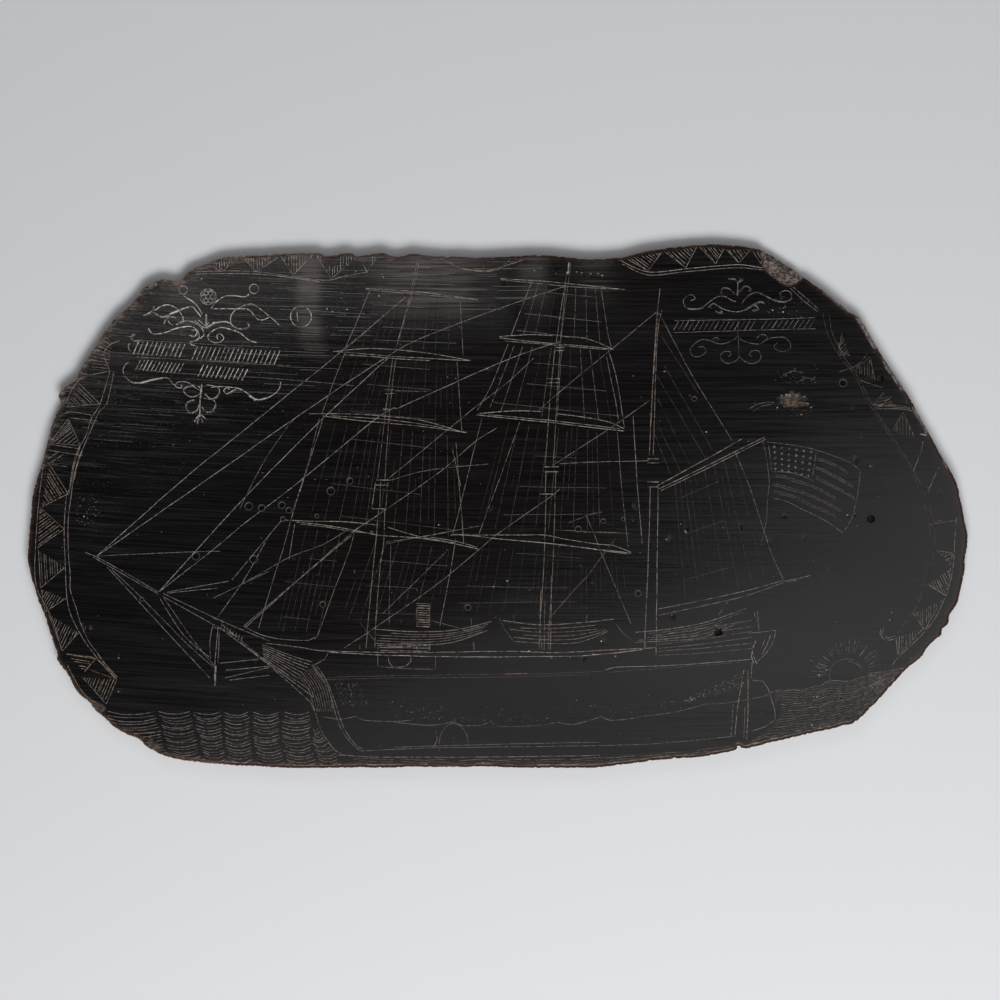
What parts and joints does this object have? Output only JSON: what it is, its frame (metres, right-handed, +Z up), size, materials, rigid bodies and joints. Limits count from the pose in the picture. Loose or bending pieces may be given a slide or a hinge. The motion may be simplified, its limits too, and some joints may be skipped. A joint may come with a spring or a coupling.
{
  "type": "scrimshaw baleen panel",
  "caption": "Thin domed plate of black baleen with a ragged outline, engraved with a sailing ship, a hatched border, scrolls and sea; lies on its back",
  "frame": {"origin": "centre of the panel's box, on the surface that it lies on", "axes": "+X runs along the panel towards the stern of the engraved ship, +Y towards the top of the picture, +Z up out of the engraved face"},
  "size_m": [0.33, 0.184, 0.0067],
  "materials": {
    "baleen": "dark satin horn-like keratin with a fine lengthwise grain, pale engraved lines and a reddish brown broken edge"
  },
  "bodies": {
    "root": {"baleen_panel": "baleen"}
  },
  "joints": []
}
